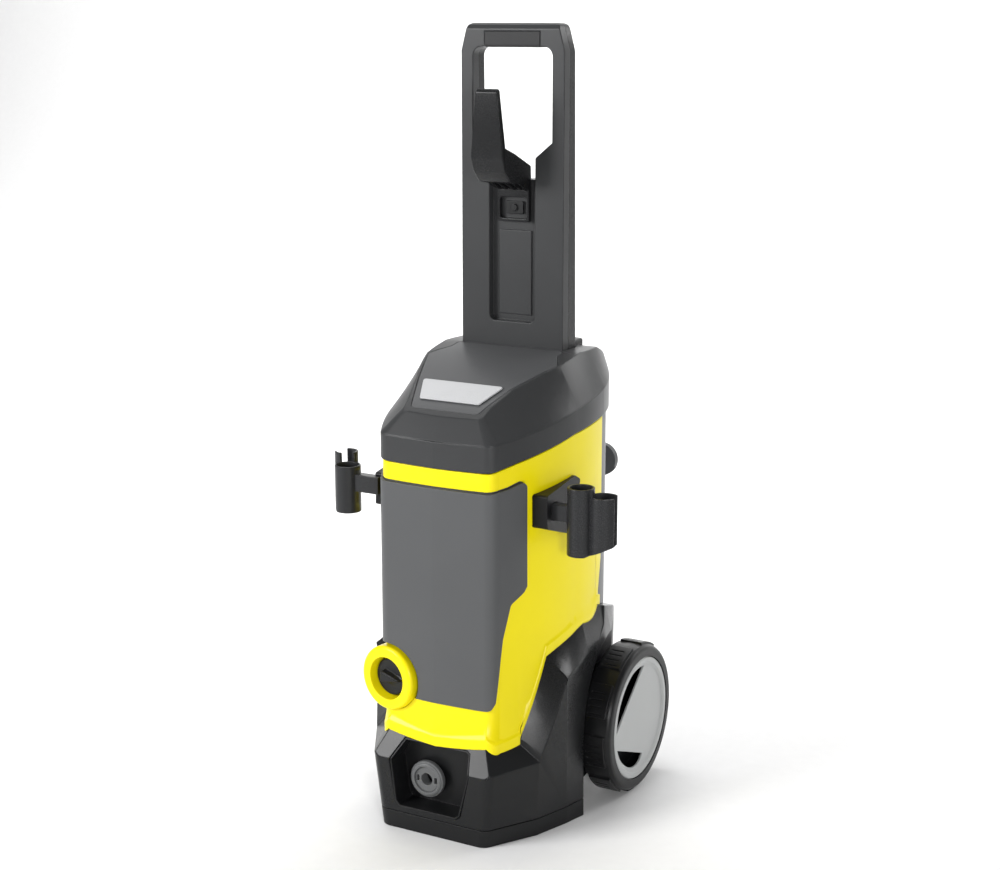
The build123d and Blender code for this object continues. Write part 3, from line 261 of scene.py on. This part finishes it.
CRISP_ANGLE = radians(24)      # outer edges sharper than this are rounded
EDGE_SEGMENTS = 2


def softened(node, material, edge=0.0008, parting=None):
    """Stands for a node as a copy with rounded outer edges; those on the plane y = parting stay sharp."""
    skin = skin_of(node)
    crisp = [e for e in skin.edges if len(e.link_faces) == 2 and e.is_convex
             and e.calc_face_angle() > CRISP_ANGLE and e.calc_length() > 0.6 * edge]
    if parting is not None:
        crisp = [e for e in crisp if not all(abs(v.co.y - parting) < 2e-5 for v in e.verts)]
    if edge:
        bmesh.ops.bevel(skin, geom=crisp, offset=edge, segments=EDGE_SEGMENTS, affect="EDGES", profile=0.5,
                        material=-1)
    made = shown(skin, node + "_moulding", body_of[node], material)
    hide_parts(node)
    return made


def plain(node, material):
    """A CAD node that shows as it is, with its material."""
    piece = frame["nodes"][node]
    piece.data.materials.clear()
    piece.data.materials.append(material)


black_plastic = moulded("black_plastic", BLACK, 0.42)
rubber = soft_rubber("rubber", (0.02, 0.02, 0.021), 0.75)
softened("floor_pan", black_plastic, 0.0012)
softened("foot_strips", rubber, 0.0005)

# ================================================================ base
# The flared lower casing in graphite plastic, which carries the axle and stands round the pump.
# Its edges are rounded where the facets meet.
GRAPHITE = (0.085, 0.087, 0.090)
graphite = moulded("graphite_plastic", GRAPHITE, 0.40)
base_graphite = moulded("base_graphite_plastic", (0.010, 0.0104, 0.0112), 0.28)
softened("base_shell", base_graphite, 0.0012)

# ================================================================ recess and hose outlet
# A black box let into the front of the base, with the coupling for the high-pressure hose on its floor.
# The coupling is a turned nipple with two bayonet slots inside a sliding release collar.
coupling_grey = moulded("coupling_grey", (0.115, 0.118, 0.12), 0.35, rubbed_and_highlit_share=0.5)
# depth behind the collar's front face and radius, in millimetres
COLLAR_STEPS = [(0.0, 17.0), (0.0, 19.4), (0.7, 19.9), (0.7, 20.7), (2.0, 21.5), (2.4, 23.0), (3.2, 23.5),
                (8.0, 23.5), (8.0, 16.2), (2.4, 16.2)]


def turned(profile, start, axis, steps=72, closed=False):
    """A profile of (depth, radius) in millimetres, spun round an axis as on a lathe."""
    lathe = bmesh.new()
    along = Vector(axis).normalized()
    side = along.orthogonal().normalized()
    points = [lathe.verts.new(Vector(start) + (along * depth + side * radius) * 0.001)
              for depth, radius in profile]
    edges = [lathe.edges.new(pair) for pair in zip(points, points[1:])]
    if closed:
        edges.append(lathe.edges.new((points[-1], points[0])))
    bmesh.ops.spin(lathe, geom=points + edges, cent=start, axis=along, angle=2 * pi, steps=steps,
                   use_merge=True)
    bmesh.ops.remove_doubles(lathe, verts=lathe.verts, dist=1e-6)
    bmesh.ops.recalc_face_normals(lathe, faces=lathe.faces)
    return lathe


softened("recess_liner", black_plastic, 0.0006)
softened("outlet_nipple", coupling_grey, 0)
collar_low, collar_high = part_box("release_collar")
collar_front = (collar_low + collar_high) / 2
collar_front.y = collar_low.y
collar_ring = shown(turned(COLLAR_STEPS, collar_front, (0, 1, 0), closed=True), "collar_ring",
                    "coupling_collar", coupling_grey)
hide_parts("release_collar")
plain("outlet_seal", rubber)

# ================================================================ wheels
# Each wheel is a hard black tyre with raised pads on a black rim, under a light grey cap with two windows.
# They turn on a steel axle behind spring clips.
# The tyre's edges are lightened strongly: mostly a painted highlight along the pads' outlines, with some
# rubbed wear.
tyre_black = moulded("tyre_black", (0.008, 0.0082, 0.0088), 0.34, grain=1.4, rubbed_and_highlit_share=0.5, rubbed_and_highlit_tone=5.0)
cap_grey = moulded("light_grey_plastic", (0.42, 0.43, 0.428), 0.34, rubbed_and_highlit_share=0.3, rubbed_and_highlit_tone=1.3)


def metal(name, colour, roughness, stretch=(1, 1, 1)):
    """Machined or cast metal, with fine tool marks drawn out along one way."""
    material, start = new_material(name)
    where = start.node("TexCoord", {}, out="Object")
    along = start.node("Mapping", {"Vector": where, "Scale": stretch})
    marks = start.node("TexNoise", {"Vector": along, "Scale": 500.0, "Detail": 4.0})
    stains = start.node("TexNoise", {"Vector": where, "Scale": 30.0, "Detail": 3.0})
    bump = start.node("Bump", {"Strength": 0.3, "Distance": 0.0001, "Height": marks}, out="Normal")
    finished(start, {
        "Base Color": mixed(stains, scaled(colour, 0.85), scaled(colour, 1.05)),
        "Metallic": 1.0,
        "Roughness": roughness + marks * 0.15 - 0.07,
        "Normal": bump,
    })
    return material


steel = metal("steel", (0.55, 0.55, 0.56), 0.34, (1, 12, 12))
for hand in ("right", "left"):
    softened("tyre_" + hand, tyre_black, 0.0007)
    softened("rim_" + hand, black_plastic, 0.0006)
    softened("hub_cap_" + hand, cap_grey, 0.0006)
plain("axle", steel)
plain("axle_clips", steel)

# ================================================================ casings
# The yellow casing wraps the front and the sides, with a raised border along its lower edge.
# A graphite panel lies in its front, and a graphite cover with louvres closes the back.
YELLOW = (0.88, 0.74, 0.002)
yellow = moulded("yellow_plastic", YELLOW, 0.30, grain=0.6, rubbed_and_highlit_share=0.25, rubbed_and_highlit_tone=1.15)
softened("yellow_casing", yellow, 0.0009)
softened("front_panel", graphite, 0.0009)
softened("rear_cover", graphite, 0.0008)

# ================================================================ cover screws
# Four zinc-plated steel screws hold the rear cover to the casing.
# Each is turned, with a domed head and a six-lobed recess pressed into it.
SCREW_HEAD_R, SCREW_DRIVE_R, SCREW_LOBE = 4.0, 1.75, 0.28
SCREW_HEAD = [(0.0, SCREW_DRIVE_R), (0.05, 2.6), (0.5, 3.5), (1.2, SCREW_HEAD_R), (2.4, SCREW_HEAD_R),
              (2.4, 2.0), (13.0, 2.0), (14.0, 0.9), (14.3, 0.0)]
# In metres: depth of the recess, the radii and the depth between which its wall is lobed, and the height
# that parts the upper screws from the lower ones.
DRIVE_DEEP, LOBE_FROM, LOBE_TO, LOBE_DEEP, SCREW_MIDDLE = 0.0018, 0.001, 0.0019, 0.0025, 0.36
screw_low, screw_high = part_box("cover_screws")
screws = bmesh.new()
for x in (screw_low.x, screw_high.x):
    for z in (screw_low.z, screw_high.z):
        inward = SCREW_HEAD_R / 1000
        place = Vector((x - inward if x > 0 else x + inward, screw_high.y,
                        z - inward if z > SCREW_MIDDLE else z + inward))
        screw = turned(SCREW_HEAD, place, (0, -1, 0), steps=36)
        rim = [e for e in screw.edges if e.is_boundary]
        floor_of_drive = bmesh.ops.extrude_edge_only(screw, edges=rim)["geom"]
        sunk = [v for v in floor_of_drive if isinstance(v, bmesh.types.BMVert)]
        bmesh.ops.translate(screw, verts=sunk, vec=(0, -DRIVE_DEEP, 0))
        bmesh.ops.contextual_create(screw, geom=[e for e in screw.edges if e.is_boundary])
        for v in screw.verts:
            out = Vector((v.co.x - place.x, 0, v.co.z - place.z))
            if LOBE_FROM < out.length < LOBE_TO and v.co.y > place.y - LOBE_DEEP:
                lobe = SCREW_LOBE * 0.001 * cos(6 * out.xz.angle_signed(Vector((1, 0))))
                v.co += out.normalized() * lobe
        part = bpy.data.meshes.new("screw")
        screw.to_mesh(part)
        screw.free()
        screws.from_mesh(part)
cover_screw_heads = shown(screws, "cover_screw_heads", "housing", steel)
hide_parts("cover_screws")

# ================================================================ switch
# A moulded yellow ring stands out of the front panel's corner, with a black knob sunk in it.
# The knob's shaft turns the power switch in its box behind the ring.
knob_black = moulded("knob_black", (0.010, 0.0104, 0.0112), 0.32)
softened("switch_bezel", yellow, 0.0008)
softened("switch_knob", knob_black, 0.0012)
plain("switch_shaft", black_plastic)
plain("switch_box", black_plastic)

# ================================================================ top cover
# A faceted graphite cover with a raised bonnet panel, a blank silver plate on the bonnet,
# and a collar with the handle's lock button behind the slot.
cover_graphite = moulded("cover_graphite_plastic", (0.038, 0.039, 0.0405), 0.34)
softened("top_cover", cover_graphite, 0.0012)
softened("bonnet_panel", graphite, 0.0008)
silver = moulded("silver_plate", (0.50, 0.505, 0.515), 0.28, grain=0.3, rubbed_and_highlit_share=0.0)
softened("badge_plate", silver, 0)
softened("handle_collar", black_plastic, 0.0008)
softened("lock_button", yellow, 0)

# ================================================================ handle
# Two graphite shells screwed together, with a soft grip under the top bar.
# The hose hook clips into the sunk channel on the front.
softened("handle_front", cover_graphite, 0.0012, parting=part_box("handle_front")[1].y)
softened("handle_back", base_graphite, 0.0012, parting=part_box("handle_back")[0].y)
grip_rubber = soft_rubber("grip_rubber", (0.02, 0.02, 0.021), 0.6)
softened("handle_grip", grip_rubber, 0.0008)
# The hook's upright plate narrows by HOOK_TAPER of its width from its root to its rounded top.
HOOK_ROOT, HOOK_RISE, HOOK_TAPER = 0.832, 0.072, 0.34
HOOK_CORNER_R, HOOK_EDGE_R, HOOK_TOP_SHARE = 0.006, 0.0012, 0.9
hook = skin_of("hose_hook")
for v in hook.verts:
    if v.co.z > HOOK_ROOT and v.co.y < 0:
        v.co.x *= 1 - HOOK_TAPER * (v.co.z - HOOK_ROOT) / HOOK_RISE
corners = [e for e in hook.edges if e.is_convex and e.calc_face_angle() > radians(50)
           and all(v.co.z > HOOK_ROOT + HOOK_TOP_SHARE * HOOK_RISE and v.co.y < 0 for v in e.verts)
           and abs(e.verts[0].co.x - e.verts[1].co.x) < 1e-4]
bmesh.ops.bevel(hook, geom=corners, offset=HOOK_CORNER_R, segments=5, affect="EDGES", profile=0.5,
                material=-1)
rounded_edges = [e for e in hook.edges if e.is_convex and e.calc_face_angle() > radians(30)]
bmesh.ops.bevel(hook, geom=rounded_edges, offset=HOOK_EDGE_R, segments=2, affect="EDGES", profile=0.5,
                material=-1)
hook_plate = shown(hook, "hose_hook_plate", "handle", base_graphite)
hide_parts("hose_hook")
softened("hook_clip", black_plastic, 0.0005)

# ================================================================ lance holders
# Open plastic tubes on arms, each plugged into a black bracket on the casing's side.
holder_grey = moulded("holder_grey", (0.022, 0.0225, 0.024), 0.28)
for hand in ("right", "left"):
    softened("bracket_" + hand, black_plastic, 0.0010)
    softened("holder_" + hand, holder_grey, 0.0009)

# ================================================================ rear fittings
# The cable is wound over a turning hook above and a fixed hook below.
# Next to them sit the gland of the power cable and the brass water inlet.
softened("hook_post", graphite, 0.0008)
softened("cable_hook", graphite, 0)
softened("lower_hook", graphite, 0.0008)

# The gland's ribs widen towards the machine; profiles are depths and radii in millimetres.
GLAND_RIBS, GLAND_PITCH = 4, 2.6
gland_low, gland_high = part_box("cord_gland")
gland_start = Vector(((gland_low.x + gland_high.x) / 2, gland_high.y, (gland_low.z + gland_high.z) / 2))
gland_profile = [(0.0, 4.2), (0.0, 5.4)]
for rib in range(GLAND_RIBS):
    depth, radius = 0.6 + rib * GLAND_PITCH, 5.9 + 0.55 * rib
    gland_profile += [(depth, radius), (depth + 1.4, radius + 0.25), (depth + 1.6, radius - 0.9),
                      (depth + GLAND_PITCH - 0.2, radius - 0.7)]
gland_profile += [(11.4, 8.6), (12.2, 9.0), (20.0, 9.0), (20.0, 4.2)]
gland = shown(turned(gland_profile, gland_start, (0, -1, 0), closed=True), "cord_strain_relief", "housing",
              rubber)
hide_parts("cord_gland")

THREADS, THREAD_PITCH, THREAD_DEEP = 8, 1.8, 1.0
brass = metal("brass", (0.72, 0.5, 0.2), 0.3)
inlet_low, inlet_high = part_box("inlet_nipple")
inlet_start = Vector(((inlet_low.x + inlet_high.x) / 2, inlet_high.y, (inlet_low.z + inlet_high.z) / 2))
inlet_profile = [(0.0, 9.0), (0.0, 11.4), (0.8, 12.2)]
for turn in range(THREADS):
    depth = 1.6 + turn * THREAD_PITCH
    inlet_profile += [(depth, 13.0 - THREAD_DEEP), (depth + 0.35 * THREAD_PITCH, 13.0),
                      (depth + 0.55 * THREAD_PITCH, 13.0)]
inlet_profile += [(16.6, 12.0), (18.3, 12.2), (18.5, 16.4), (19.0, 17.0), (22.0, 17.0), (22.5, 16.6),
                  (22.5, 13.0), (44.0, 13.0), (44.0, 9.0)]
inlet = shown(turned(inlet_profile, inlet_start, (0, -1, 0), steps=96, closed=True), "water_inlet", "housing",
              brass)
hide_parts("inlet_nipple")
plain("inlet_filter", cap_grey)
plain("inlet_pipe", black_plastic)

# ================================================================ inside
# The motor in its cast jacket stands upright over the pump, on rubber mounts on the floor pan's posts.
# Two black plastic rails guide the handle's edges.
aluminium = metal("cast_aluminium", (0.62, 0.63, 0.64), 0.5)
windings = metal("laminated_steel", (0.2, 0.2, 0.21), 0.45, (1, 1, 30))
for node in ("motor_jacket", "motor_end_cap", "pump_housing", "cylinder_head", "capacitor"):
    plain(node, aluminium)
for node in ("stator", "rotor"):
    plain(node, windings)
for node in ("motor_shaft", "bearings", "swash_plate", "pistons", "piston_springs", "head_bolts"):
    plain(node, steel)
for node in ("guide_rail_left", "guide_rail_right"):
    plain(node, black_plastic)
plain("pump_mounts", rubber)
